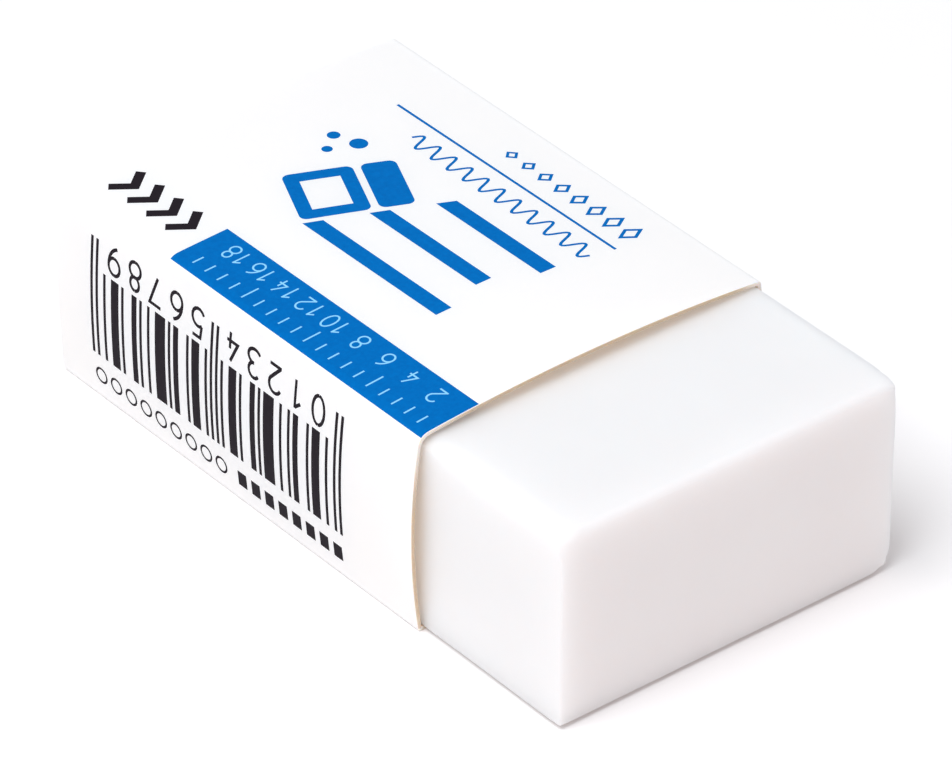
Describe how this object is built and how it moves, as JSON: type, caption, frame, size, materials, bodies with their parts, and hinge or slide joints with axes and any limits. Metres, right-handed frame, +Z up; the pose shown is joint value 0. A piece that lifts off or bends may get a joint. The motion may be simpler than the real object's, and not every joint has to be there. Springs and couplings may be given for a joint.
{
  "type": "rubber eraser",
  "caption": "White vinyl eraser block with crisp, barely rounded edges in a folded card sleeve that slides along it.",
  "frame": {"origin": "middle of the underside, at the centre of the bounding box's base", "axes": "+X along the block towards its bare end, +Y across the width towards the sleeve's glued side, +Z up"},
  "size_m": [0.04, 0.0229, 0.0124],
  "materials": {
    "vinyl": "satin",
    "card": "satin"
  },
  "bodies": {
    "block": {"eraser_block": "vinyl"},
    "sleeve": {"card_sleeve": "card"}
  },
  "joints": [
    {"name": "sleeve_slide", "type": "slide", "parent": "block", "child": "sleeve", "axis": [1, 0, 0], "range_m": [-0.03, 0.0106]}
  ]
}
